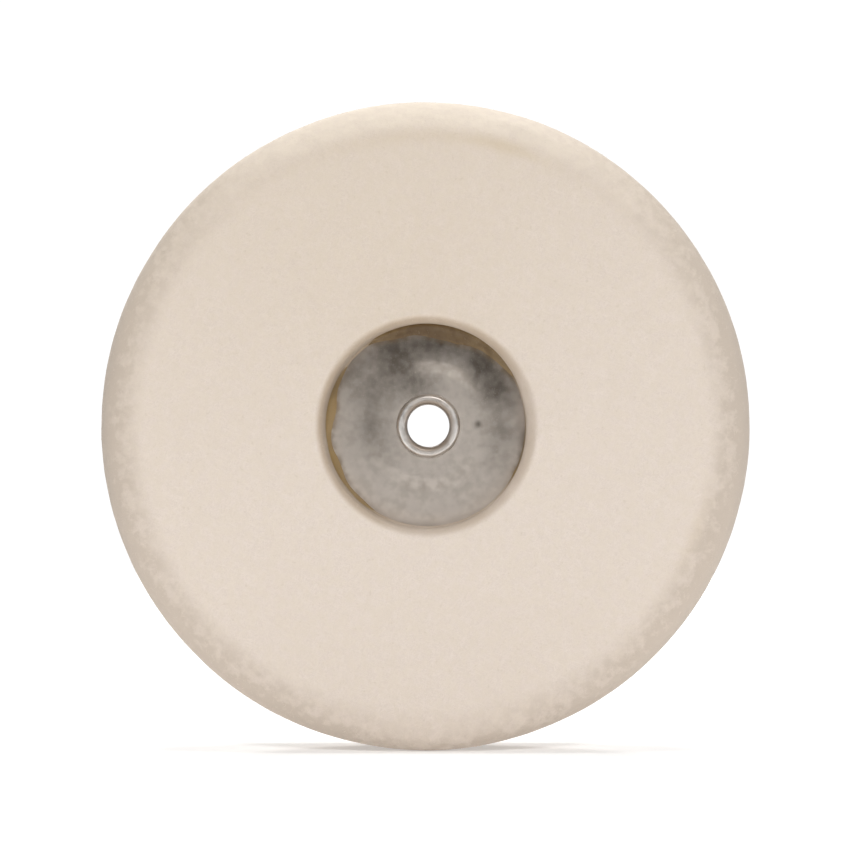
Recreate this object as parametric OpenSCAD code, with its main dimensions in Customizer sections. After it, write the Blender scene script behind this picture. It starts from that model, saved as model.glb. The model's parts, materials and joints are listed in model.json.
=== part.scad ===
// Felt polishing wheel for a lapidary arbor: a disc of hard pressed wool felt on a riveted steel hub.
// The wheel turns about Y. Its front face, with the deep nut recess, looks along -Y, its rear face
// along +Y, and the origin lies on the bore's axis, halfway through the felt.
// Every piece is round, so each is drawn as a half section and turned: in a section, x is the radius
// and y is the depth, which runs from the front face to the rear face.

/* [Felt] */
// Outside diameter of the felt
wheel_d = 152.4; // [120:0.1:220]
// Thickness of the felt
wheel_t = 25.4; // [22:0.1:40]
// Width of the bevel round each working face
bevel_w = 3.8; // [1:0.1:5]
// Slope of that bevel, in degrees
bevel_angle = 20; // [10:1:30]
// Radius that rounds the bevel into the rim
rim_round = 7.1; // [2:0.1:8]

/* [Recesses] */
// Diameter of the front recess, which takes the arbor's nut and washer
recess_d = 49.2; // [42:0.1:60]
// Depth of the front recess, down to the felt
recess_depth = 12.7; // [8:0.1:14]
// Radius that rounds the mouth of the front recess
lip_round = 1.9; // [0.5:0.1:3]
// Gap between the rear plate's edge and the felt round it
rear_gap = 0.5; // [0.3:0.1:1]

/* [Plates] */
// Gap between the front plate's edge and the recess wall, which the adhesive fills
plate_gap = 0.4; // [0.3:0.1:1.5]
// Thickness of the sheet steel
plate_t = 1.2; // [0.8:0.1:2]
// Diameter of the raised flat land that takes the clamping washer
land_d = 25; // [20:0.5:27]
// Height of the land above the plate round it
land_rise = 0.4; // [0.1:0.1:0.8]

/* [Hub] */
// Diameter of the arbor hole through the hub tube
bore_d = 10.1; // [8:0.1:11]
// Wall of the hub tube
tube_wall = 0.5; // [0.4:0.05:0.9]
// Inside radius of the curl at each end of the tube
curl_inside = 0.75; // [0.3:0.05:0.8]
// How far the rolling tool flattens the top of each curl
crest_flat = 0.1; // [0.02:0.01:0.15]

/* [Adhesive] */
// Thickness of the adhesive under each plate
glue_t = 0.3; // [0.1:0.05:0.5]
// How far the front bead climbs the recess wall above the plate
bead_climb = 2.2; // [0.5:0.1:2.5]
// How far the front bead laps over the plate's edge
bead_lap = 2; // [0.5:0.1:3]

/* [Hidden] */
$fn = 180;
slope_w = 3;           // width of the pressed step round a plate's land
tube_clearance = 0.05; // between the tube and the holes in the plates
felt_clearance = 0.15; // between the tube and the hole in the felt
past = 1;              // how far a cut runs past the surface that it opens

wheel_r = wheel_d / 2;
front_y = -wheel_t / 2;
rear_y = wheel_t / 2;

// The bevel starts on the face and ends where the rim's rounding takes over.
bevel_end_r = wheel_r - rim_round * (1 - sin(bevel_angle));
bevel_start_r = bevel_end_r - bevel_w;
bevel_drop = bevel_w * tan(bevel_angle);
round_y = front_y + bevel_drop + rim_round * cos(bevel_angle);

bore_r = bore_d / 2;
tube_r = bore_r + tube_wall;
curl_r = curl_inside + tube_wall;
curl_centre_r = bore_r + curl_r;
curl_height = curl_r - crest_flat;
plate_hole_r = tube_r + tube_clearance;
felt_hole_r = tube_r + felt_clearance;
land_r = land_d / 2;
slope_r = land_r + slope_w;

// The front recess, from the felt at its bottom up to the land that the tube is rolled over.
seat_r = recess_d / 2;
seat_y = front_y + recess_depth;
plate_r = seat_r - plate_gap;
plate_back_y = seat_y - glue_t;
plate_front_y = plate_back_y - plate_t;
front_land_y = plate_front_y - land_rise;

// The rear curl is flush with the rear face, so its plate is sunk by the height of the curl.
rear_land_y = rear_y - curl_height;
rear_plate_y = rear_land_y - land_rise;
rear_film_y = rear_plate_y - plate_t;
rear_seat_y = rear_film_y - glue_t;
rear_seat_r = plate_r + rear_gap;

// Turns a half section about Y.
module turned() rotate([-90, 0, 0]) rotate_extrude() children();

// A ring's section between two radii and two depths.
module ring(r1, r2, y1, y2) translate([r1, y1]) square([r2 - r1, y2 - y1]);

// The felt before any hole is cut: a slab with a bevelled and rounded shoulder at both faces.
module felt_blank() {
    polygon([
        [0, front_y], [bevel_start_r, front_y], [bevel_end_r, front_y + bevel_drop],
        [wheel_r - rim_round, round_y], [wheel_r, round_y],
        [wheel_r, -round_y], [wheel_r - rim_round, -round_y],
        [bevel_end_r, rear_y - bevel_drop], [bevel_start_r, rear_y], [0, rear_y]
    ]);
    for (y = [round_y, -round_y]) translate([wheel_r - rim_round, y]) circle(rim_round);
}

// What rounds the corner where the recess wall meets the front face.
module lip_cut() {
    difference() {
        ring(seat_r - past, seat_r + lip_round, front_y - past, front_y + lip_round);
        translate([seat_r + lip_round, front_y + lip_round]) circle(lip_round);
    }
}

// A pressed plate, with its front at y = 0 and a land raised round its hole.
module plate_section() {
    polygon([
        [plate_hole_r, -land_rise], [land_r, -land_rise], [slope_r, 0], [plate_r, 0],
        [plate_r, plate_t], [slope_r, plate_t], [land_r, plate_t - land_rise],
        [plate_hole_r, plate_t - land_rise]
    ]);
}

// The half ring into which one end of the tube is rolled, standing on y = 0 with a flattened top.
module curl_section() {
    cut_w = curl_r + past;
    translate([curl_centre_r, 0]) difference() {
        circle(curl_r);
        circle(curl_inside);
        translate([-cut_w, 0]) square([2 * cut_w, cut_w]);
        translate([-cut_w, -curl_height - cut_w]) square([2 * cut_w, cut_w]);
    }
}

module felt_body() {
    color("antiquewhite") turned() difference() {
        felt_blank();
        lip_cut();
        ring(-past, seat_r, front_y - past, seat_y);
        ring(-past, felt_hole_r, front_y, rear_y);
        ring(-past, rear_seat_r, rear_seat_y, rear_y + past);
    }
}

module front_plate() {
    color("darkgray") turned() translate([0, plate_front_y]) plate_section();
}

module rear_plate() {
    color("darkgray") turned() translate([0, rear_plate_y]) mirror([0, 1]) plate_section();
}

module hub_tube() {
    color("silver") turned() {
        ring(bore_r, tube_r, front_land_y, rear_land_y);
        translate([0, front_land_y]) curl_section();
        translate([0, rear_land_y]) mirror([0, 1]) curl_section();
    }
}

// The film under the front plate, with the bead that was squeezed out round the plate's edge.
module front_adhesive() {
    bead_crown = 0.4 * bead_climb;
    color("saddlebrown") turned() polygon([
        [felt_hole_r, seat_y], [felt_hole_r, plate_back_y - land_rise],
        [land_r, plate_back_y - land_rise], [slope_r, plate_back_y],
        [plate_r, plate_back_y], [plate_r, plate_front_y],
        [plate_r - bead_lap, plate_front_y], [plate_r, plate_front_y - bead_crown],
        [seat_r, plate_front_y - bead_climb], [seat_r, seat_y]
    ]);
}

// The film behind the rear plate, which fills the gap round it up to the plate's face.
module rear_adhesive() {
    color("saddlebrown") turned() polygon([
        [felt_hole_r, rear_seat_y], [rear_seat_r, rear_seat_y],
        [rear_seat_r, rear_plate_y], [plate_r, rear_plate_y],
        [plate_r, rear_film_y], [slope_r, rear_film_y],
        [land_r, rear_film_y + land_rise], [felt_hole_r, rear_film_y + land_rise]
    ]);
}

felt_body();
front_plate();
rear_plate();
hub_tube();
front_adhesive();
rear_adhesive();
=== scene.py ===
"""The looks of a felt polishing wheel: hard pressed wool felt on a riveted steel hub.

Everything is in metres, in the row frame. The wheel turns about Y and its recessed front looks along -Y.
Round pieces are given by a section, a closed loop of (radius, depth) points, where depth runs along Y.
Angles are seen from the front: 0 is to the right (+X) and 90 is up (+Z).
"""

import json
import math
import random

import bmesh
import bpy
import numpy as np
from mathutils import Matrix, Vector, noise


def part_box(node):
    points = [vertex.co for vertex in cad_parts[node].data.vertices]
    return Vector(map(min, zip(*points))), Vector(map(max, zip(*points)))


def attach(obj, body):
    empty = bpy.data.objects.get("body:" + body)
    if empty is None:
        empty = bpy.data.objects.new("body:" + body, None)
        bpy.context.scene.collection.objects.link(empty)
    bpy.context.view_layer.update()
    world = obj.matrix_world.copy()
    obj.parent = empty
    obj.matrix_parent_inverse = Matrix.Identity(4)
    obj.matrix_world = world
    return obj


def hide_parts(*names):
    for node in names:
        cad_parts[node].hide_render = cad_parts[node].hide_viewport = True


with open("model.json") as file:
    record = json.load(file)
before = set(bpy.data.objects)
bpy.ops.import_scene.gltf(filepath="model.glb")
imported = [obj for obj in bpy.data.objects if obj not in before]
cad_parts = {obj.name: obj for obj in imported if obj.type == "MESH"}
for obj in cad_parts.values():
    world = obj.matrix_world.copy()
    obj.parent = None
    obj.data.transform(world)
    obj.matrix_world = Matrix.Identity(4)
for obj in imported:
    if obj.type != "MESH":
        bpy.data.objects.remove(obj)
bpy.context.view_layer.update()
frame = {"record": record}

MM = 0.001
FULL_TURN = 360.0


def size(value):
    """Millimetres as metres."""
    return value * MM


# ---------------------------------------------------------------- dimensions from the frame
felt_lo, felt_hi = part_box("felt_body")
front_plate_lo, front_plate_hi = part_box("front_plate")
rear_plate_lo, rear_plate_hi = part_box("rear_plate")
hub_lo, hub_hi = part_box("hub_tube")
front_glue_lo, front_glue_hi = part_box("front_adhesive")
rear_glue_lo, rear_glue_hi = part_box("rear_adhesive")
bore_mount = next(m for m in frame["record"]["mounts"] if m["name"] == "arbor_bore")

wheel_r = felt_hi.x
front_y = felt_lo.y
rear_y = felt_hi.y
bore_r = size(bore_mount["dims"]["r_mm"])
plate_r = front_plate_hi.x
front_land_y = front_plate_lo.y
front_plate_back_y = front_plate_hi.y
rear_land_y = rear_plate_hi.y
rear_plate_back_y = rear_plate_lo.y
seat_r = front_glue_hi.x
seat_y = front_glue_hi.y
bead_top_y = front_glue_lo.y
rear_seat_r = rear_glue_hi.x
rear_seat_y = rear_glue_lo.y
curl_outer_r = hub_hi.x
front_crest_y = hub_lo.y
rear_crest_y = hub_hi.y

# What the boxes don't say: the part's own wall, clearances and land.
TUBE_WALL = size(0.5)
FELT_HOLE_GAP = size(0.15)
PLATE_HOLE_GAP = size(0.05)
LAND_R = size(12.5)
LAND_RISE = size(0.4)
SLOPE_W = size(3)

# The felt's soft shape. The wall of the recess leans in over the plate's edge and spreads at its foot.
WALL_R = size(24.18)
WALL_Y = size(-1.52)
FOOT_SPREAD = size(0.45)
LIP_W = size(2.2)
LIP_DROP = size(3.2)
REAR_LIP_ROUND = size(0.5)
BEVEL_TILT = math.radians(20)
RIM_ROUND = size(7.1)
FACE_R = size(66.4)
FOLD_R = size(13)

tube_r = bore_r + TUBE_WALL
felt_hole_r = tube_r + FELT_HOLE_GAP
plate_hole_r = tube_r + PLATE_HOLE_GAP
plate_front_y = front_land_y + LAND_RISE
rear_plate_y = rear_land_y - LAND_RISE
mouth_r = WALL_R + LIP_W
lip_y = front_y + LIP_DROP


# ---------------------------------------------------------------- camera
LENS = 120
SENSOR = 36
WHEEL_SHARE = 0.7580  # the wheel's width in the picture, as a share of the picture's
FULL_WIDTH_DEPTH = size(8)  # how far behind the front face the wheel is at its widest
FELT_RUNOUT = Vector((-size(0.7), 0, -size(0.1)))  # how far the felt's rim lies off the hub's axis
MOUTH_RUNOUT = Vector((-size(0.4), 0, -size(0.03)))  # and how far the mouth of its recess does
AIM = FELT_RUNOUT + Vector((size(0.37), 0, -size(0.16)))  # what lies in the middle of the picture


def make_camera():
    """Square on to the front face."""
    distance = wheel_r / (WHEEL_SHARE * SENSOR / 2 / LENS)
    data = bpy.data.cameras.new("camera")
    data.lens = LENS
    data.sensor_width = SENSOR
    camera = bpy.data.objects.new("camera", data)
    camera.location = (AIM.x, front_y + FULL_WIDTH_DEPTH - distance, AIM.z)
    camera.rotation_euler = (math.radians(90), 0, 0)
    bpy.context.scene.collection.objects.link(camera)
    bpy.context.scene.camera = camera


make_camera()


# ---------------------------------------------------------------- mesh helpers
SEED_STEP = (7.3, 3.1, 5.7)  # how far one seed moves the noise, in grains
FRACTAL_DIMENSION = 1.0
FRACTAL_GAP = 2.0  # how much finer each octave is than the last
TINY = 1e-12  # keeps a division by a length of nothing from failing


def line(a, b, steps):
    """Points from a up to but not including b."""
    return [(a[0] + (b[0] - a[0]) * i / steps, a[1] + (b[1] - a[1]) * i / steps) for i in range(steps)]


def arc(centre, radius, start, end, steps):
    """Points round a circle from one angle in degrees up to but not including another."""
    turns = [math.radians(start + (end - start) * i / steps) for i in range(steps)]
    return [(centre[0] + radius * math.cos(t), centre[1] + radius * math.sin(t)) for t in turns]


def even_angles(turns):
    """Angles in degrees, evenly round the wheel."""
    return np.arange(turns) * FULL_TURN / turns


def angle_gap(angles, centre):
    """The signed gap in degrees from centre to each angle, the short way round."""
    return (angles - centre + FULL_TURN / 2) % FULL_TURN - FULL_TURN / 2


def humps(angles, features):
    """Adds up round-topped humps: each feature is (middle, half width, height), in degrees and any unit."""
    total = np.zeros_like(angles)
    for middle, half_width, height in features:
        total += height * np.exp(-((angle_gap(angles, middle) / half_width) ** 2))
    return total


def wobble(angles, seed, lowest, highest):
    """A smooth random wave round the wheel, about 1 high, made of harmonics from lowest to highest."""
    rng = random.Random(seed)
    wave = np.zeros_like(angles)
    for k in range(lowest, highest + 1):
        phase = rng.uniform(0, 2 * math.pi)
        wave += rng.gauss(0, 1) * np.cos(np.radians(angles) * k + phase) / math.sqrt(k)
    return wave / np.abs(wave).max()


def smooth_step(value, low, high):
    """0 up to low, 1 from high on, and a smooth rise between them."""
    t = np.clip((value - low) / (high - low), 0, 1)
    return t * t * (3 - 2 * t)


def mm_step(value, low, high):
    """smooth_step with its two ends in millimetres."""
    return smooth_step(value, size(low), size(high))


def fractal(points, grain, octaves, seed):
    """Smooth noise of about -1 to 1 at each point of a grid, with lumps about a grain across."""
    offset = Vector([seed * step for step in SEED_STEP])
    values = [
        noise.fractal(Vector(p) / grain + offset, FRACTAL_DIMENSION, FRACTAL_GAP, octaves)
        for p in points.reshape(-1, 3)
    ]
    return np.array(values).reshape(points.shape[:2])


def section_normals(loop):
    """Outward unit normals of a closed loop of points that runs clockwise in (radius, depth)."""
    along = np.roll(loop, -1, axis=0) - np.roll(loop, 1, axis=0)
    across = np.stack([along[:, 1], -along[:, 0]], axis=1)
    return across / np.maximum(np.linalg.norm(across, axis=1, keepdims=True), TINY)


def spun(loop, turns):
    """A section's radii and its depths, repeated for every turn: two arrays of (turns, section points)."""
    return np.tile(loop[:, 0], (turns, 1)), np.tile(loop[:, 1], (turns, 1))


def turned_points(radii, depths, angles):
    """Row-frame points for arrays of shape (turns, section points)."""
    a = np.radians(angles)[:, None]
    return np.stack([radii * np.cos(a), depths, radii * np.sin(a)], axis=2)


def grid_mesh(name, points):
    """A closed mesh from points of shape (turns, section points, 3): both directions join up."""
    turns, count = points.shape[:2]
    i, j = np.meshgrid(np.arange(turns), np.arange(count), indexing="ij")
    i2, j2 = (i + 1) % turns, (j + 1) % count
    quads = np.stack([i * count + j, i2 * count + j, i2 * count + j2, i * count + j2], axis=2)
    mesh = bpy.data.meshes.new(name)
    mesh.from_pydata(points.reshape(-1, 3).tolist(), [], quads.reshape(-1, 4).tolist())
    outward = bmesh.new()
    outward.from_mesh(mesh)
    bmesh.ops.recalc_face_normals(outward, faces=outward.faces)
    outward.to_mesh(mesh)
    outward.free()
    mesh.polygons.foreach_set("use_smooth", [True] * len(mesh.polygons))
    piece = bpy.data.objects.new(name, mesh)
    bpy.context.scene.collection.objects.link(piece)
    return piece


def set_attribute(piece, name, values):
    """Stores one number per vertex, for the material to read."""
    attribute = piece.data.attributes.new(name, "FLOAT", "POINT")
    attribute.data.foreach_set("value", np.asarray(values, np.float32).ravel())


def place(piece, material, slot, *nodes):
    """Gives a piece its material and its body, and hides the CAD nodes that it stands for."""
    piece.data.materials.append(material)
    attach(piece, "root")
    if nodes:
        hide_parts(*nodes)


# ---------------------------------------------------------------- material helpers
MIX_A, MIX_B, MIX_RESULT = 6, 7, 2  # the colour sockets of a Mix node


class Shader:
    """A Principled material, with short calls for the nodes that feed it."""

    def __init__(self, name, **constants):
        self.material = bpy.data.materials.new(name)
        self.material.use_nodes = True
        self.tree = self.material.node_tree
        self.bsdf = self.tree.nodes["Principled BSDF"]
        self.coordinates = self.add("ShaderNodeTexCoord").outputs["Object"]
        for socket, value in constants.items():
            self.bsdf.inputs[socket.replace("_", " ")].default_value = value

    def add(self, kind, **settings):
        node = self.tree.nodes.new(kind)
        for key, value in settings.items():
            setattr(node, key, value)
        return node

    def feed(self, socket, value):
        """Links an output to a socket, or sets the socket to a constant."""
        if isinstance(value, bpy.types.NodeSocket):
            self.tree.links.new(value, socket)
        else:
            socket.default_value = value

    def set(self, name, value):
        self.feed(self.bsdf.inputs[name], value)

    def stretched(self, turn, stretch):
        """Object coordinates turned by Euler degrees and then drawn out along the turned X."""
        node = self.add("ShaderNodeMapping", vector_type="TEXTURE")
        node.inputs["Rotation"].default_value = [math.radians(t) for t in turn]
        node.inputs["Scale"].default_value = (stretch, 1, 1)
        self.feed(node.inputs["Vector"], self.coordinates)
        return node.outputs["Vector"]

    def noise(self, grain, detail=2.0, roughness=0.5, distortion=0.0, vector=None):
        """Noise from 0 to 1 with lumps about a grain across, given in millimetres."""
        node = self.add("ShaderNodeTexNoise")
        node.inputs["Scale"].default_value = 1 / size(grain)
        node.inputs["Detail"].default_value = detail
        node.inputs["Roughness"].default_value = roughness
        node.inputs["Distortion"].default_value = distortion
        self.feed(node.inputs["Vector"], vector or self.coordinates)
        return node.outputs["Fac"]

    def attribute(self, name):
        return self.add("ShaderNodeAttribute", attribute_name=name).outputs["Fac"]

    def math(self, operation, a, b, clamp=False):
        node = self.add("ShaderNodeMath", operation=operation, use_clamp=clamp)
        self.feed(node.inputs[0], a)
        self.feed(node.inputs[1], b)
        return node.outputs[0]

    def times(self, a, b):
        return self.math("MULTIPLY", a, b)

    def spread(self, value, low, high, to_low=0.0, to_high=1.0):
        """Maps low..high to to_low..to_high smoothly, and holds it there outside."""
        node = self.add("ShaderNodeMapRange", interpolation_type="SMOOTHSTEP")
        for socket, number in zip(node.inputs[1:5], (low, high, to_low, to_high)):
            socket.default_value = number
        self.feed(node.inputs["Value"], value)
        return node.outputs["Result"]

    def mix(self, share, a, b):
        """Colour a turned into colour b by a share from 0 to 1."""
        node = self.add("ShaderNodeMix", data_type="RGBA", blend_type="MIX")
        self.feed(node.inputs["Factor"], share)
        self.feed(node.inputs[MIX_A], a)
        self.feed(node.inputs[MIX_B], b)
        return node.outputs[MIX_RESULT]

    def bump(self, height, strength, distance, normal=None):
        """A normal from a height of 0 to 1 that stands for a distance in millimetres."""
        node = self.add("ShaderNodeBump")
        node.inputs["Strength"].default_value = strength
        node.inputs["Distance"].default_value = size(distance)
        self.feed(node.inputs["Height"], height)
        if normal is not None:
            self.feed(node.inputs["Normal"], normal)
        return node.outputs["Normal"]


def rgb(r, g, b):
    """A colour in linear light."""
    return (r, g, b, 1.0)


# ---------------------------------------------------------------- materials
# The felt's colours, from matted wool to the stains on it.
WOOL_DEEP = rgb(0.700, 0.608, 0.533)
WOOL_PALE = rgb(0.775, 0.680, 0.600)
WOOL_STRAND = rgb(0.790, 0.700, 0.627)
WOOL_CLOUD = rgb(0.735, 0.640, 0.560)
WOOL_WARM = rgb(0.735, 0.645, 0.535)
WOOL_SPECK = rgb(0.60, 0.51, 0.42)
# Rubbed wool, and the painted shade of the shoulders and the rim.
WOOL_RUBBED_SHADE = rgb(0.575, 0.490, 0.412)
# A painted highlight along the top of the front shoulder.
WOOL_TOP_HIGHLIGHT = rgb(0.86, 0.77, 0.665)
WOOL_YELLOWED = rgb(0.62, 0.50, 0.33)
# Brownish painted shade on the lip of the recess mouth.
WOOL_MOUTH_SHADE = rgb(0.535, 0.430, 0.325)
WOOL_GLUED = rgb(0.26, 0.18, 0.09)
FIBRE_DEEP = rgb(0.74, 0.65, 0.56)
FIBRE_PALE = rgb(0.82, 0.74, 0.65)

ZINC_DEEP = rgb(0.655, 0.590, 0.530)
ZINC_PALE = rgb(0.705, 0.640, 0.575)
# Tarnish, and the painted shadow of the recess wall.
ZINC_TARNISH_SHADOW = rgb(0.125, 0.108, 0.090)
ZINC_SCRATCH = rgb(0.62, 0.57, 0.52)
ZINC_SMEAR = rgb(0.235, 0.165, 0.095)

STEEL_DEEP = rgb(0.72, 0.69, 0.655)
STEEL_PALE = rgb(0.86, 0.825, 0.79)
# Brownish grime and painted shade on the tube.
STEEL_GRIME_SHADE = rgb(0.32, 0.26, 0.21)

GLUE_THIN = rgb(0.330, 0.225, 0.100)
# Thick glue, and the painted shade over the top of the bead.
GLUE_THICK_SHADED = rgb(0.118, 0.066, 0.020)
GLUE_DUST = rgb(0.30, 0.22, 0.13)

STRAND_TURNS = [(12, 20, 0), (65, 0, 55), (0, 70, 110), (40, 40, 160)]


def strands(shader, width, stretch):
    """Matted strands lying every way: the highest of several drawn-out noises."""
    top = None
    for turn in STRAND_TURNS:
        layer = shader.noise(width, detail=1.0, distortion=0.8, vector=shader.stretched(turn, stretch))
        top = layer if top is None else shader.math("MAXIMUM", top, layer)
    return shader.spread(top, 0.5, 0.75)


def felt_material():
    """Pressed wool: cream and matt, with matted strands and soft clouding, and its wear and stains, with
    painted shade on the shoulders and the recess mouth and a painted highlight along the top of the front
    shoulder.
    """
    m = Shader("felt", Roughness=0.95, Specular_IOR_Level=0.15, Sheen_Weight=0.12, Sheen_Roughness=0.6)
    fine = strands(m, width=0.22, stretch=7)
    coarse = strands(m, width=0.6, stretch=5)
    clouds = m.noise(9, detail=3)
    warmth = m.noise(2.2, detail=2)
    specks = m.spread(m.noise(1.1, detail=2), 0.66, 0.78)
    rub_shade_patches = m.spread(m.noise(2.8, detail=4, roughness=0.65), 0.34, 0.66, 0.36, 0.84)
    patchy = m.spread(warmth, 0.35, 0.65, 0.75, 1.25)
    colour = m.mix(fine, WOOL_DEEP, WOOL_PALE)
    colour = m.mix(m.times(coarse, 0.5), colour, WOOL_STRAND)
    colour = m.mix(m.spread(clouds, 0.3, 0.7, 0.0, 0.35), colour, WOOL_CLOUD)
    colour = m.mix(m.spread(warmth, 0.35, 0.65, 0.0, 0.4), colour, WOOL_WARM)
    colour = m.mix(m.times(specks, 0.35), colour, WOOL_SPECK)
    colour = m.mix(m.times(m.attribute("rubbed_and_shaded"), rub_shade_patches), colour, WOOL_RUBBED_SHADE)
    colour = m.mix(m.times(m.attribute("top_highlight"), patchy), colour, WOOL_TOP_HIGHLIGHT)
    colour = m.mix(m.times(m.attribute("yellowed"), 0.4), colour, WOOL_YELLOWED)
    colour = m.mix(m.attribute("mouth_shade"), colour, WOOL_MOUTH_SHADE)
    colour = m.mix(m.attribute("glued"), colour, WOOL_GLUED)
    m.set("Base Color", colour)
    matting = m.math("ADD", m.times(fine, 0.4), m.times(coarse, 0.5))
    lumps = m.noise(2.4, detail=3, roughness=0.6)
    rough = m.bump(matting, strength=0.4, distance=0.12)
    m.set("Normal", m.bump(lumps, strength=0.6, distance=0.35, normal=rough))
    return m.material


def fibre_material():
    """Single wool fibres, a little paler than the felt that they stand out of."""
    m = Shader("fibre", Roughness=0.8, Specular_IOR_Level=0.3, Sheen_Weight=0.2)
    m.set("Base Color", m.mix(m.noise(6, detail=2), FIBRE_DEEP, FIBRE_PALE))
    return m.material


def zinc_material():
    """Zinc-plated sheet: dull clouded metal, duller where it is tarnished and where shadow is painted on,
    lighter where highlights are painted on, with fine scratches.
    """
    m = Shader("zinc_plate", Metallic=1.0)
    clouds = m.noise(5, detail=2, roughness=0.5)
    blotches = m.noise(2.0, detail=1.5, roughness=0.5)
    grain = m.noise(0.25, detail=2)
    mottle = m.math("ADD", m.times(clouds, 0.5), m.times(blotches, 0.5))
    uneven = m.spread(mottle, 0.36, 0.64, -0.075, 0.075)
    # Tarnish, painted shadow and painted highlights, with random unevenness.
    tarnish_shadow_and_highlight = m.math("ADD", m.attribute("tarnish_shadow_and_highlight"), uneven, clamp=True)
    scratches = m.spread(m.noise(0.12, detail=0, vector=m.stretched((20, 50, 30), 40)), 0.68, 0.76)
    smear = m.times(m.attribute("smear"), m.spread(blotches, 0.35, 0.65, 0.4, 1.0))
    colour = m.mix(m.spread(clouds, 0.35, 0.65), ZINC_DEEP, ZINC_PALE)
    colour = m.mix(tarnish_shadow_and_highlight, colour, ZINC_TARNISH_SHADOW)
    colour = m.mix(m.times(scratches, 0.2), colour, ZINC_SCRATCH)
    colour = m.mix(smear, colour, ZINC_SMEAR)
    m.set("Base Color", colour)
    m.set("Roughness", m.spread(mottle, 0.35, 0.65, 0.42, 0.60))
    height = m.math("ADD", m.times(blotches, 0.7), m.times(grain, 0.3))
    m.set("Normal", m.bump(height, strength=0.25, distance=0.06))
    return m.material


def rolled_steel_material():
    """The tube: bright where the roll was burnished, dull and brownish down the bore, where grime and painted
    shade lie, with painted shade on parts of the roll and round its outer edge.
    """
    m = Shader("rolled_steel")
    clouds = m.noise(1.6, detail=3)
    grime_and_shade = m.attribute("grime_and_shade")
    colour = m.mix(m.spread(clouds, 0.35, 0.65), STEEL_DEEP, STEEL_PALE)
    m.set("Base Color", m.mix(grime_and_shade, colour, STEEL_GRIME_SHADE))
    m.set("Metallic", m.spread(grime_and_shade, 0.0, 1.0, 1.0, 0.3))
    m.set("Roughness", m.spread(clouds, 0.3, 0.7, 0.32, 0.46))
    m.set("Normal", m.bump(m.noise(0.3, detail=2), strength=0.15, distance=0.04))
    return m.material


def glue_material():
    """Cured brown glue: semi-gloss, darker where it went on thick and where shade is painted over the top of
    the bead, with dust and small pits.
    """
    m = Shader("glue", Specular_IOR_Level=0.4, Coat_Weight=0.08, Coat_Roughness=0.2)
    clouds = m.noise(2.5, detail=3)
    pits = m.spread(m.noise(0.5, detail=2), 0.62, 0.72)
    glue_shade = m.math("ADD", m.attribute("glue_shade"), m.spread(clouds, 0.3, 0.7, -0.15, 0.15), clamp=True)
    colour = m.mix(glue_shade, GLUE_THIN, GLUE_THICK_SHADED)
    m.set("Base Color", m.mix(m.times(pits, 0.4), colour, GLUE_DUST))
    m.set("Roughness", m.spread(clouds, 0.3, 0.7, 0.30, 0.55))
    m.set("Normal", m.bump(m.math("SUBTRACT", clouds, pits), strength=0.3, distance=0.15))
    return m.material


# ---------------------------------------------------------------- felt
FELT_TURNS = 440

# How freely the parts of its surface wander: 0 is held to its section and 1 wanders fully.
HELD, REAR_WALL_FREE, REAR_LIP_FREE, WALL_FREE, FREE = 0.0, 0.2, 0.4, 0.5, 1.0
BROAD_GRAIN, BROAD_SWELL = size(22), size(0.16)
LUMP_GRAIN, LUMP_SWELL = size(5), size(0.07)
SHOULDER_SWELL = 1.4  # how much more the shoulder wanders than the faces do
RIM_SWELL = 1.8  # and how much less than the shoulder the rim does
FRONT_SHIFT_WAVE = 0.35
REAR_SHIFT_WAVE = 0.7
LEAN_START = size(0.2)  # how far behind the front face the wall starts to lean

# Angle, half width and amount, in degrees and millimetres.
SHOULDER_SHIFTS = [(74, 5, 1.5), (118, 9, 1.0), (50, 8, -0.9), (318, 7, -0.6), (200, 10, 0.4)]
WALL_LEANS = [(0, 55, -0.95)]
# Shallow dents in the felt: angle, radius, reach and depth, in degrees and millimetres.
FRONT_DENTS = [(68, 69.5, 4.5, 0.30), (88, 68.0, 3.0, 0.12), (331, 70.0, 4.0, 0.20), (305, 68.5, 3.5, 0.15)]

# Where the rubbed shoulder is lighter: angle, half width in degrees and strength. Besides wear this paints
# light and shade: the top is painted as lit, and parts with a negative strength, the sides among them, are
# painted in shade.
SHOULDER_LIT_PARTS = [
    (90, 42, 1.2),
    (0, 50, -0.85),
    (180, 45, -0.7),
    (270, 14, 0.4),
    (238, 22, -0.5),
    (322, 26, -0.3),
]
# A highlight painted along the top of the front shoulder: angle, half width and strength.
TOP_HIGHLIGHT_PARTS = [(90, 40, 0.65)]
YELLOW_PATCHES = [(74, 6, 0.7), (88, 24, 0.45), (338, 8, 0.4)]
YELLOW_CAST = [(105, 65, 0.44)]
# Where the painted shade on the recess mouth is lighter, at the bottom and the right: angle, half width and
# strength.
MOUTH_LIT_PARTS = [(275, 45, 0.45), (0, 45, 0.55)]
YELLOW_RING_R, YELLOW_RING_W = size(67.6), size(1.5)
BEVEL_RUB_SHADE = 0.7  # how much of the rubbed colour and painted shade the bevel takes, before the rim adds the rest
MOUTH_SHADE_WAVE = 0.15
FRONT_SIDE = 6  # millimetres to each side of the middle of the rim, over which the front's looks fade
FULL_SOAK = 1.5  # the glue lap, in millimetres, that soaks the felt beside it fully


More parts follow.
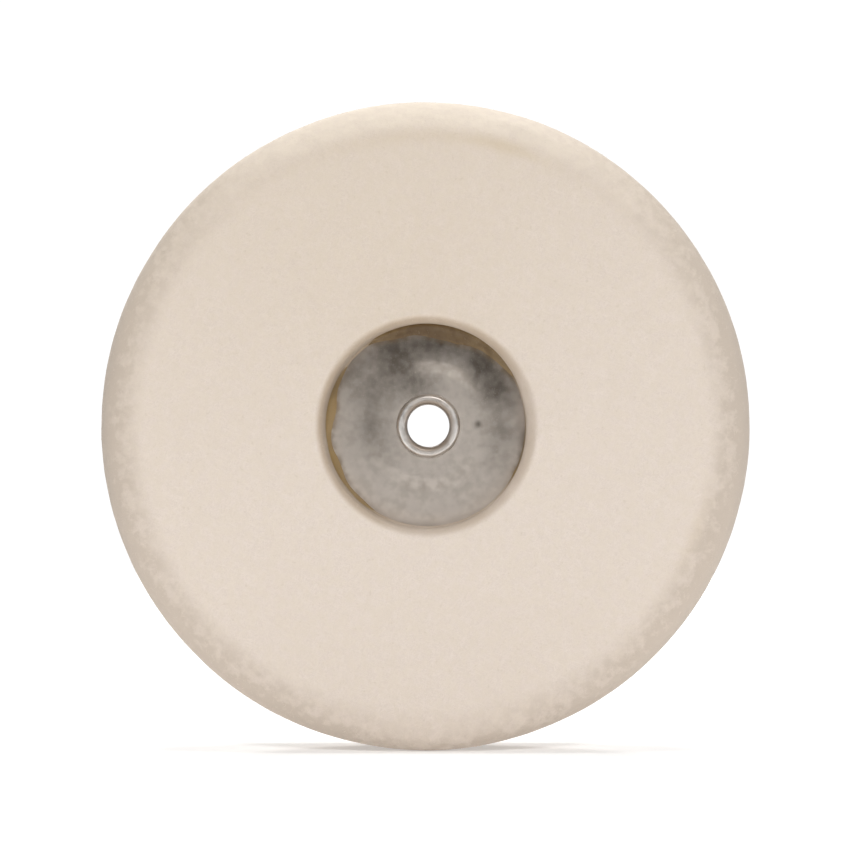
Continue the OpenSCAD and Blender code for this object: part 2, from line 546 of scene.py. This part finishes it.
def felt_loop():
    """The felt's section. Returns the points and, for each, how freely its surface may wander."""
    tilt = math.degrees(BEVEL_TILT)
    bevel_end = wheel_r - RIM_ROUND * (1 - math.sin(BEVEL_TILT))
    fold_end = FACE_R + FOLD_R * math.sin(BEVEL_TILT)
    fold_end_y = front_y + FOLD_R * (1 - math.cos(BEVEL_TILT))
    bevel_end_y = fold_end_y + (bevel_end - fold_end) * math.tan(BEVEL_TILT)
    round_y = bevel_end_y + RIM_ROUND * math.cos(BEVEL_TILT)
    shoulder = arc((FACE_R, front_y + FOLD_R), FOLD_R, 270, 270 + tilt, steps=8)
    shoulder += line((fold_end, fold_end_y), (bevel_end, bevel_end_y), steps=6)
    shoulder += arc((wheel_r - RIM_ROUND, round_y), RIM_ROUND, 270 + tilt, 360, steps=14)
    rear_shoulder = [(r, -y) for r, y in reversed(shoulder)]
    foot = arc((WALL_R - FOOT_SPREAD, WALL_Y - FOOT_SPREAD), FOOT_SPREAD, 90, 0, steps=5)
    lip_turn = arc((0, 0), 1, 180, 270, steps=14)
    lip = [(mouth_r + LIP_W * x, lip_y + LIP_DROP * y) for x, y in lip_turn]
    rear_lip_end = rear_seat_r + REAR_LIP_ROUND
    rear_lip_y = rear_y - REAR_LIP_ROUND
    parts = [
        (line((felt_hole_r, seat_y), (seat_r, seat_y), steps=8), HELD),
        (line((seat_r, seat_y), (seat_r, plate_front_y), steps=3), HELD),
        (line((seat_r, plate_front_y), (WALL_R - FOOT_SPREAD, WALL_Y), steps=3), HELD),
        (foot, HELD),
        (line((WALL_R, WALL_Y - FOOT_SPREAD), (WALL_R, lip_y), steps=16), WALL_FREE),
        (lip, WALL_FREE),
        (line((mouth_r, front_y), (FACE_R, front_y), steps=46), FREE),
        (shoulder, FREE),
        (line((wheel_r, round_y), (wheel_r, -round_y), steps=12), FREE),
        (rear_shoulder, FREE),
        # The rear shoulder already ends where this line starts.
        (line((FACE_R, rear_y), (rear_lip_end, rear_y), steps=46)[1:], FREE),
        (arc((rear_lip_end, rear_lip_y), REAR_LIP_ROUND, 90, 180, steps=4), REAR_LIP_FREE),
        (line((rear_seat_r, rear_lip_y), (rear_seat_r, rear_seat_y), steps=4), REAR_WALL_FREE),
        (line((rear_seat_r, rear_seat_y), (felt_hole_r, rear_seat_y), steps=6), HELD),
        (line((felt_hole_r, rear_seat_y), (felt_hole_r, seat_y), steps=4), HELD),
    ]
    loop = np.array([p for points, _ in parts for p in points])
    freedom = np.array([free for points, free in parts for _ in points])
    return loop, freedom


def shoulder_shift(radii, depths, angles):
    """How far the line where a face turns down into its shoulder wanders in and out."""
    in_shoulder = mm_step(radii, 56, 66) * (1 - mm_step(radii, 71, 75.5))
    front_shift = humps(angles, SHOULDER_SHIFTS) + FRONT_SHIFT_WAVE * wobble(angles, 3, 2, 14)
    rear_shift = REAR_SHIFT_WAVE * wobble(angles, 5, 2, 12)
    shift = np.where(depths < 0, front_shift[:, None], rear_shift[:, None])
    return size(1) * shift * in_shoulder


def felt_swell(radii, depths, angles):
    """How far the felt's surface stands out of its section, or into it: swellings, lumps and dents."""
    points = turned_points(radii, depths, angles)
    broad = fractal(points, BROAD_GRAIN, 2, seed=1)
    lumpy = fractal(points, LUMP_GRAIN, 2, seed=2)
    swell = BROAD_SWELL * broad + LUMP_SWELL * lumpy
    swell = swell * (1 + SHOULDER_SWELL * mm_step(radii, 64, 68) - RIM_SWELL * mm_step(radii, 72, 75.5))
    for angle, radius, reach, depth in FRONT_DENTS:
        across = np.radians(angle_gap(angles, angle))[:, None] * radii
        far = ((radii - size(radius)) ** 2 + across**2) / size(reach) ** 2
        swell = swell - size(depth) * np.exp(-far) * (depths < 0)
    return swell


def felt_arrays(loop, freedom, angles):
    """Radii and depths of every point of the felt, wandering as the real one does."""
    normals = section_normals(loop)
    radii, depths = spun(loop, FELT_TURNS)
    radii = radii + shoulder_shift(radii, depths, angles)
    swell = felt_swell(radii, depths, angles)
    radii = radii + normals[:, 0] * swell * freedom
    depths = depths + normals[:, 1] * swell * freedom
    # The recess wall leans further in on one side than on the other, up to just inside its mouth.
    on_wall = (radii < mouth_r) & (depths < plate_front_y)
    lean = smooth_step(depths, front_y + LEAN_START, lip_y) * on_wall
    radii = radii + size(1) * humps(angles, WALL_LEANS)[:, None] * lean
    return radii, depths


def off_centre(radii, depths, points):
    """Moves the rim and the recess mouth off the hub's axis, each by its own runout."""
    outward = smooth_step(radii, mouth_r, wheel_r)[:, :, None]
    upward = np.clip((WALL_Y - depths) / (WALL_Y - lip_y), 0, 1)[:, :, None]
    return points + outward * np.array(FELT_RUNOUT) + upward * (1 - outward) * np.array(MOUTH_RUNOUT)


def paint_shoulder(piece, radii, depths, angles):
    """Where the shoulders and the rim are rubbed and painted in shade, where a highlight is painted along the
    top of the front shoulder, and where the front has yellowed.
    """
    frontness = 1 - mm_step(depths, -FRONT_SIDE, FRONT_SIDE)
    # The rubbed colour also paints shade on the shoulder: darker at its sides, lighter at its top.
    shoulder = BEVEL_RUB_SHADE * mm_step(radii, 65, 71) + mm_step(radii, 70.5, 76)
    shoulder_lit = humps(angles, SHOULDER_LIT_PARTS)[:, None] * frontness
    set_attribute(piece, "rubbed_and_shaded", shoulder * (1 - shoulder_lit))
    # A painted highlight along the top of the front bevel.
    top_highlight = humps(angles, TOP_HIGHLIGHT_PARTS)[:, None] * mm_step(radii, 68.5, 71.5)
    set_attribute(piece, "top_highlight", top_highlight * frontness)
    ring = np.exp(-(((radii - YELLOW_RING_R) / YELLOW_RING_W) ** 2))
    yellowed = humps(angles, YELLOW_PATCHES)[:, None] * ring + humps(angles, YELLOW_CAST)[:, None]
    set_attribute(piece, "yellowed", yellowed * frontness)


def paint_recess(piece, loop, radii, depths, angles):
    """Where shade is painted on the mouth of the recess, and where glue has soaked into its wall."""
    in_recess = (radii > WALL_R - size(2)) & (radii < mouth_r) & (depths < 0)
    at_mouth = 1 - smooth_step(loop[:, 0], mouth_r - size(1.7), mouth_r - size(0.1))
    # Painted shade where the lip curls down into the recess, lighter at the bottom and the right.
    mouth_shade = 1 - humps(angles, MOUTH_LIT_PARTS) + MOUTH_SHADE_WAVE * wobble(angles, 8, 3, 30)
    set_attribute(piece, "mouth_shade", np.clip(mouth_shade[:, None] * at_mouth, 0, 1) * in_recess)
    soak = np.clip(humps(angles, GLUE_LAPS) / FULL_SOAK, 0, 1)[:, None]
    low = 1 - mm_step(plate_front_y - depths, 0.8, 3.2)
    set_attribute(piece, "glued", soak * low * in_recess)


def make_felt():
    """The wheel's body: a disc with a soft recess, uneven shoulders and its stains."""
    loop, freedom = felt_loop()
    angles = even_angles(FELT_TURNS)
    radii, depths = felt_arrays(loop, freedom, angles)
    points = off_centre(radii, depths, turned_points(radii, depths, angles))
    piece = grid_mesh("felt_wheel", points)
    paint_shoulder(piece, radii, depths, angles)
    paint_recess(piece, loop, radii, depths, angles)
    place(piece, felt_material(), "felt", "felt_body")
    return piece

# ---------------------------------------------------------------- glue
GLUE_TURNS = 360
BEAD_STEPS = 14
SUNK = size(0.05)  # how far the bead reaches below the plate's face
LEAST_LAP = size(0.03)
FULL_LAP = size(2)  # the lap from which on the bead is at its fullest
LAP_WAVE = 0.07
LAP_RIPPLE = size(0.05)
LEAST_CLIMB = size(0.2)
BEAD_BELLY = size(0.30)  # how thick the glue lies where it laps over the plate
REAR_LAP, REAR_LAP_WAVE, REAR_LAP_RIPPLE = size(0.35), size(0.3), size(0.12)
REAR_RISE = size(0.14)

# Where the front glue laps over the plate: angle, half width and lap, in degrees and millimetres.
GLUE_LAPS = [
    (78, 34, 3.7),
    (38, 13, 1.0),
    (112, 10, 0.9),
    (150, 8, 0.6),
    (172, 15, 2.1),
    (203, 12, 1.5),
    (352, 18, 1.0),
    (330, 12, 1.0),
    (228, 13, 0.9),
]
GLUE_TOP_SHADE = [(88, 46, 1.0)]  # painted shade over the top of the bead, where it lies thickest: angle, half width and strength


def glue_mesh(name, inner, rise, outer_r, face_y, seat, land, back, side):
    """A film under a plate and the bead on the plate's edge. side is -1 at the front and 1 at the rear.

    inner is the bead's inner edge at each angle, and rise its height over the plate's face."""
    share = np.linspace(0, 1, BEAD_STEPS)
    bead_r = inner[:, None] + (outer_r - inner)[:, None] * share
    bead_y = face_y + side * rise
    film = [
        (outer_r, seat),
        (felt_hole_r, seat),
        (felt_hole_r, land),
        (LAND_R, land),
        (LAND_R + SLOPE_W, back),
        (plate_r, back),
        (plate_r, face_y - side * SUNK),
    ]
    film_r, film_y = spun(np.array(film), GLUE_TURNS)
    edge_y = np.full((GLUE_TURNS, 1), face_y - side * SUNK)
    radii = np.concatenate([bead_r, film_r, inner[:, None]], axis=1)
    depths = np.concatenate([bead_y, film_y, edge_y], axis=1)
    angles = even_angles(GLUE_TURNS)
    piece = grid_mesh(name, turned_points(radii, depths, angles))
    # Painted shade over the top of the bead, where it also lies thickest.
    set_attribute(piece, "glue_shade", humps(angles, GLUE_TOP_SHADE)[:, None] * np.ones_like(radii))
    return piece


def glue_lap(angles):
    """How far the front bead laps over the plate at each angle."""
    lap = size(1) * humps(angles, GLUE_LAPS)
    lap = lap * (1 + LAP_WAVE * wobble(angles, 11, 5, 24)) + LAP_RIPPLE * wobble(angles, 12, 10, 40)
    return np.maximum(lap, LEAST_LAP)


def make_front_glue(material):
    """The film under the front plate, and the uneven bead that was squeezed out round it."""
    lap = glue_lap(even_angles(GLUE_TURNS))
    full = smooth_step(lap, 0, FULL_LAP)[:, None]
    share = np.linspace(0, 1, BEAD_STEPS)
    climb = LEAST_CLIMB + (plate_front_y - bead_top_y - LEAST_CLIMB) * full
    rise = BEAD_BELLY * full * (1 - (1 - share) ** 4) + climb * share**5
    film = front_plate_back_y
    piece = glue_mesh(
        "front_glue", plate_r - lap, rise, seat_r, plate_front_y, seat_y, film - LAND_RISE, film, -1
    )
    place(piece, material, "adhesive", "front_adhesive")


def make_rear_glue(material):
    """The film behind the rear plate, with a thin uneven smear over the plate's edge."""
    angles = even_angles(GLUE_TURNS)
    lap = REAR_LAP + REAR_LAP_WAVE * wobble(angles, 21, 2, 9) + REAR_LAP_RIPPLE * wobble(angles, 22, 12, 50)
    lap = np.maximum(lap, LEAST_LAP)
    share = np.linspace(0, 1, BEAD_STEPS)
    rise = REAR_RISE * np.sin(np.pi / 2 * share) * np.ones((GLUE_TURNS, 1))
    film = rear_plate_back_y
    piece = glue_mesh(
        "rear_glue", plate_r - lap, rise, rear_seat_r, rear_plate_y, rear_seat_y, film + LAND_RISE, film, 1
    )
    place(piece, material, "adhesive", "rear_adhesive")


# ---------------------------------------------------------------- plates
PLATE_TURNS = 300
PLATE_EDGE_ROUND = size(0.25)
DENT_GRAIN, DENT_DEPTH = size(9), size(0.07)
RIPPLE_GRAIN, RIPPLE_DEPTH = size(3), size(0.015)
RIPPLE_SEED_GAP = 5
EVEN_TARNISH = 0.36
OUTER_SHINE = 0.10
HUB_SHINE = 0.08
STREAK_WAVE = 0.07
SMEAR_REACH = size(1.3)
SMEAR_FULL_LAP = size(1.5)  # the glue lap that smears the plate beside it fully
SMEAR_STRENGTH = 0.7

# Tarnished patches, and the painted shadow of the recess wall over the top of the plate: angle, radius, reach
# and strength, in degrees and millimetres. Painted highlights are negative.
FRONT_TARNISH_AND_SHADOW = [
    (84, 20.5, 6.0, 0.65),
    (52, 19.5, 5.5, 0.62),
    (28, 18.0, 4.5, 0.55),
    (115, 19, 6.0, 0.60),
    (14, 19.3, 2.2, 0.20),
    (147, 19, 6.0, 0.41),
    (182, 17, 7.0, 0.18),
    (92, 9.5, 4.0, 0.26),
    (118, 11.0, 4.5, 0.28),
    (155, 11.5, 4.0, 0.10),
    (182, 13, 2.5, 0.14),
    (200, 11, 5.0, 0.14),
    (20, 14.5, 3.5, 0.06),
    (2, 11.8, 0.8, 0.60),
    (357, 18.5, 4.0, 0.42),
    (335, 18.5, 4.0, 0.20),
    (62, 14.8, 3.0, -0.15),
    (2, 23.0, 3.0, -0.35),
    (90, 13.0, 3.0, -0.12),
]
REAR_STAINS = [(70, 15, 6, 0.4), (200, 18, 5, 0.35), (310, 12, 3, 0.25), (255, 20, 3, 0.3)]
RIM_REFLECTION = [(272, 62, 0.30)]  # a painted reflection of the lit felt wall, bright on the bottom of the plate's edge: angle, half width and strength


def patches(radii, angles, features):
    """Adds up round soft patches: each feature is (angle, radius, reach, strength)."""
    a = np.radians(angles)[:, None]
    total = np.zeros_like(radii)
    for angle, radius, reach, strength in features:
        t = math.radians(angle)
        across = radii * np.cos(a) - size(radius) * math.cos(t)
        up = radii * np.sin(a) - size(radius) * math.sin(t)
        total += strength * np.exp(-(across**2 + up**2) / size(reach) ** 2)
    return total


def plate_loop():
    """A plate's section, drawn with its front at depth 0 and its back at a positive depth.

    Returns the points, and how many of them are on the side that shows."""
    thick = front_plate_back_y - front_land_y - LAND_RISE
    slope_r = LAND_R + SLOPE_W
    edge_r = plate_r - PLATE_EDGE_ROUND
    top = line((plate_hole_r, -LAND_RISE), (LAND_R, -LAND_RISE), steps=12)
    top += line((LAND_R, -LAND_RISE), (slope_r, 0), steps=6)
    top += line((slope_r, 0), (edge_r, 0), steps=20)
    top += arc((edge_r, PLATE_EDGE_ROUND), PLATE_EDGE_ROUND, 270, 360, steps=4)
    back = [
        (plate_r, thick),
        (slope_r, thick),
        (LAND_R, thick - LAND_RISE),
        (plate_hole_r, thick - LAND_RISE),
    ]
    return np.array(top + back), len(top)


def pressed(radii, depths, angles, seed, shown):
    """A plate's depths once it is a little dished and dented, as stamped sheet is."""
    points = turned_points(radii, depths, angles)
    dents = fractal(points, DENT_GRAIN, 2, seed)
    ripple = fractal(points, RIPPLE_GRAIN, 1, seed + RIPPLE_SEED_GAP)
    on_top = np.arange(radii.shape[1]) < shown
    away = mm_step(radii, 7.5, 11) * (1 - smooth_step(radii, size(22), plate_r))
    return depths + (DENT_DEPTH * dents + RIPPLE_DEPTH * ripple) * away * on_top


def paint_plate(piece, radii, angles, seed, front):
    """Where a plate is tarnished, where shadow, highlights and a reflection of the lit felt wall are painted
    on, and where glue has smeared over it.
    """
    # The front's patches hold the recess wall's painted shadow and painted highlights as well as tarnish.
    stains_and_shadow = FRONT_TARNISH_AND_SHADOW if front else REAR_STAINS
    around_hub = 1 - mm_step(radii, 7.4, 8.8)
    streaks = 1 + STREAK_WAVE * wobble(angles, seed, 24, 70)[:, None]
    even = EVEN_TARNISH - OUTER_SHINE * mm_step(radii, 15, 19) - HUB_SHINE * around_hub
    # A painted reflection of the lit felt wall along the bottom of the plate's edge.
    bright_rim = humps(angles, RIM_REFLECTION)[:, None] * mm_step(radii, 19.5, 23)
    set_attribute(piece, "tarnish_shadow_and_highlight", even + patches(radii, angles, stains_and_shadow) * streaks - bright_rim)
    smear = np.zeros_like(radii)
    if front:
        lap = glue_lap(angles)[:, None]
        glue_edge = plate_r - lap
        smear = smooth_step(radii, glue_edge - SMEAR_REACH, glue_edge) * np.clip(lap / SMEAR_FULL_LAP, 0, 1)
    set_attribute(piece, "smear", SMEAR_STRENGTH * smear)


def make_plate(name, node, seed, front, material):
    """One pressed plate, facing the front or the rear."""
    loop, shown = plate_loop()
    angles = even_angles(PLATE_TURNS)
    radii, flat = spun(loop, PLATE_TURNS)
    depths = pressed(radii, flat, angles, seed, shown)
    depths = depths + plate_front_y if front else rear_plate_y - depths
    piece = grid_mesh(name, turned_points(radii, depths, angles))
    paint_plate(piece, radii, angles, seed, front)
    place(piece, material, "zinc_plate", node)


# ---------------------------------------------------------------- hub
HUB_TURNS = 220
CURL_STEPS = 18
ROLL_WAVE = size(0.06)
# A painted contact shadow round the roll's outer edge.
EDGE_SHADOW = 0.1
# Where the grime and painted shade down the bore are lighter, as painted light at the sides, and where
# painted shade lies on the roll: angle, half width, share.
HUB_SIDE_LIGHT = [(187, 28, 0.75), (350, 24, 0.45)]
HUB_ROLL_SHADE = [(75, 45, 0.60), (122, 18, 0.30), (280, 60, 0.40)]


def curl(land_y, crest_y, side):
    """The outside of one rolled end, from the bore round to its outer edge. side is -1 at the front."""
    curl_r = (curl_outer_r - bore_r) / 2
    height = abs(crest_y - land_y)
    points = []
    for i in range(CURL_STEPS + 1):
        t = math.pi * i / CURL_STEPS
        rise = min(curl_r * math.sin(t), height)
        points.append((bore_r + curl_r * (1 - math.cos(t)), land_y + side * rise))
    return points


def hub_loop():
    """The section of the thin tube, rolled over at both ends."""
    inside = (curl_outer_r - bore_r) / 2 - TUBE_WALL
    centre = (curl_outer_r + bore_r) / 2
    loop = line((bore_r, rear_land_y), (bore_r, front_land_y), steps=16)
    loop += curl(front_land_y, front_crest_y, -1)
    loop += arc((centre, front_land_y), inside, 0, -180, steps=8)
    loop += line((tube_r, front_land_y), (tube_r, rear_land_y), steps=6)
    loop += arc((centre, rear_land_y), inside, 180, 0, steps=8)
    # The rear roll runs back towards the bore, where the loop began.
    loop += curl(rear_land_y, rear_crest_y, 1)[:0:-1]
    return np.array(loop)


def make_hub(material):
    """The tube, with rolls that are a little out of round, grime and painted shade down its bore, painted
    shade on parts of the roll and round its outer edge, and painted light at its sides.
    """
    angles = even_angles(HUB_TURNS)
    radii, depths = spun(hub_loop(), HUB_TURNS)
    outer = smooth_step(radii, (curl_outer_r + bore_r) / 2, curl_outer_r)
    radii = radii + ROLL_WAVE * wobble(angles, 31, 2, 11)[:, None] * outer
    piece = grid_mesh("hub_roll", turned_points(radii, depths, angles))
    # Grime and painted shade down the bore, a painted contact shadow at the roll's edge, painted shade on
    # parts of the roll and painted light at its sides.
    grime_and_shade = 1 - mm_step(radii, 5.8, 6.55) + EDGE_SHADOW * mm_step(radii, 7.1, 7.5)
    roll_shade = humps(angles, HUB_ROLL_SHADE)[:, None] * mm_step(radii, 6.0, 6.6)
    grime_and_shade = grime_and_shade * (1 - humps(angles, HUB_SIDE_LIGHT)[:, None]) + roll_shade
    set_attribute(piece, "grime_and_shade", np.clip(grime_and_shade, 0, 1))
    place(piece, material, "rolled_steel", "hub_tube")


# ---------------------------------------------------------------- nap
FIBRE_SIDES = 3
FIBRE_STEPS = 4
FIBRE_LIFT = (0.05, 0.5)  # how steeply it leaves the felt
FIBRE_LENGTH = (0.5, 1.6)  # in millimetres
FIBRE_RADIUS = (0.012, 0.022)  # in millimetres
FIBRE_ROOT = size(0.05)  # how deep in the felt it starts
FIBRE_TAPER = 0.18
FIBRE_BEND = 0.28
FIBRE_DROOP = 0.12
MOUTH_DENSITY = 3  # fibres at the recess mouth for each one on the face


def fibre(rng, root, normal, verts, faces):
    """One wool fibre: a thin tapered tube that leaves the felt, bends over and ends in a point."""
    across = normal.orthogonal().normalized()
    turn = rng.uniform(0, 2 * math.pi)
    heading = across * math.cos(turn) + normal.cross(across) * math.sin(turn)
    lift = rng.uniform(*FIBRE_LIFT)
    length = size(rng.uniform(*FIBRE_LENGTH))
    thick = size(rng.uniform(*FIBRE_RADIUS))
    step = length / FIBRE_STEPS
    point = root - normal * FIBRE_ROOT
    way = (heading + normal * lift).normalized()
    start = len(verts)
    for i in range(FIBRE_STEPS):
        side = way.orthogonal().normalized()
        other = way.cross(side)
        radius = thick * (1 - FIBRE_TAPER * i)
        for k in range(FIBRE_SIDES):
            a = 2 * math.pi * k / FIBRE_SIDES
            verts.append(point + (side * math.cos(a) + other * math.sin(a)) * radius)
        point = point + way * step
        bend = Vector((rng.gauss(0, 1), rng.gauss(0, 1), rng.gauss(0, 1)))
        way = (way + bend * FIBRE_BEND - normal * FIBRE_DROOP * i).normalized()
    verts.append(point)
    for i in range(FIBRE_STEPS - 1):
        for k in range(FIBRE_SIDES):
            a = start + i * FIBRE_SIDES + k
            b = start + i * FIBRE_SIDES + (k + 1) % FIBRE_SIDES
            faces.append((a, b, b + FIBRE_SIDES, a + FIBRE_SIDES))
    last = start + (FIBRE_STEPS - 1) * FIBRE_SIDES
    for k in range(FIBRE_SIDES):
        faces.append((last + k, last + (k + 1) % FIBRE_SIDES, last + FIBRE_SIDES))
    faces.append(tuple(start + k for k in reversed(range(FIBRE_SIDES))))


def make_nap(name, felt, count, seed, wanted, material):
    """Loose fibres on the part of the felt where wanted(centre) gives a weight over 0."""
    rng = random.Random(seed)
    mesh = felt.data
    weights = [p.area * wanted(p.center) for p in mesh.polygons]
    chosen = rng.choices(range(len(weights)), weights=weights, k=count)
    verts, faces = [], []
    for index in chosen:
        polygon = mesh.polygons[index]
        a, b, c, d = (mesh.vertices[corner].co for corner in polygon.vertices)
        u, v = rng.random(), rng.random()
        root = a.lerp(b, u).lerp(d.lerp(c, u), v)
        fibre(rng, root, polygon.normal.copy(), verts, faces)
    nap = bpy.data.meshes.new(name)
    nap.from_pydata([tuple(vert) for vert in verts], [], faces)
    piece = bpy.data.objects.new(name, nap)
    bpy.context.scene.collection.objects.link(piece)
    place(piece, material, "felt")


def on_front(centre):
    """The front face, and more thickly the mouth of its recess."""
    radius = math.hypot(centre.x, centre.z)
    if centre.y > front_y + size(3) or radius < seat_r + size(0.3):
        return 0
    return MOUTH_DENSITY if radius < seat_r + size(3) else 1


def on_rim(centre):
    """The rim and both shoulders."""
    return 1 if math.hypot(centre.x, centre.z) > size(69) else 0


def on_rear(centre):
    """The rear face."""
    radius = math.hypot(centre.x, centre.z)
    return 1 if centre.y > rear_y - size(1.5) and radius > rear_seat_r + size(0.2) else 0


# ---------------------------------------------------------------- stage
SURROUND = 0.205  # how brightly the surround lights the wheel
BACKDROP = 1.05  # and how bright the camera sees it
TABLE_W = 1.6
TABLE_GLOW = 0.30
TABLE_WHITE = rgb(0.86, 0.86, 0.86)
# Each light's name, place, width and strength.
LIGHTS = [
    ("key", (0.42, -2.36, 1.80), 0.60, 0.41),
    ("top", (0.0, 0.10, 1.60), 0.90, 0.74),
    ("rear_key", (-0.50, 2.30, 1.70), 0.80, 0.40),
]


def make_floor():
    """A plain white table, lit a little from inside so that it stays white."""
    bpy.ops.mesh.primitive_plane_add(size=TABLE_W, location=(0, 0, felt_lo.z + FELT_RUNOUT.z))
    floor = bpy.context.object
    floor.name = "floor"
    m = Shader("floor", Roughness=0.9, Specular_IOR_Level=0.0, Base_Color=TABLE_WHITE)
    m.set("Emission Color", rgb(1, 1, 1))
    m.set("Emission Strength", TABLE_GLOW)
    floor.data.materials.append(m.material)


def make_light(name, location, width, strength):
    """A soft square light that faces the wheel. A strength of 1 lights a surface as a white surround does."""
    spot = Vector(location)
    data = bpy.data.lights.new(name, "AREA")
    data.size = width
    data.energy = strength * math.pi**2 * spot.length_squared
    lamp = bpy.data.objects.new(name, data)
    lamp.location = spot
    lamp.rotation_euler = (-spot).to_track_quat("-Z", "Y").to_euler()
    bpy.context.scene.collection.objects.link(lamp)


def make_world():
    """An even surround. The picture's background is plain white: only the light that it gives is dimmer."""
    world = bpy.data.worlds.new("surround")
    bpy.context.scene.world = world
    world.use_nodes = True
    tree = world.node_tree
    background = tree.nodes["Background"]
    background.inputs["Color"].default_value = (1, 1, 1, 1)
    path = tree.nodes.new("ShaderNodeLightPath")
    strength = tree.nodes.new("ShaderNodeMix")
    strength.inputs["A"].default_value = SURROUND
    strength.inputs["B"].default_value = BACKDROP
    tree.links.new(path.outputs["Is Camera Ray"], strength.inputs["Factor"])
    tree.links.new(strength.outputs["Result"], background.inputs["Strength"])


make_world()
felt_piece = make_felt()
glue = glue_material()
make_front_glue(glue)
make_rear_glue(glue)
zinc = zinc_material()
make_plate("front_cup_plate", "front_plate", 4, True, zinc)
make_plate("rear_cup_plate", "rear_plate", 8, False, zinc)
make_hub(rolled_steel_material())
wool = fibre_material()
make_nap("front_nap", felt_piece, 5000, 41, on_front, wool)
make_nap("rim_nap", felt_piece, 7000, 42, on_rim, wool)
make_nap("rear_nap", felt_piece, 4000, 43, on_rear, wool)
make_floor()
for light in LIGHTS:
    make_light(*light)
bpy.context.scene.view_settings.view_transform = "Standard"
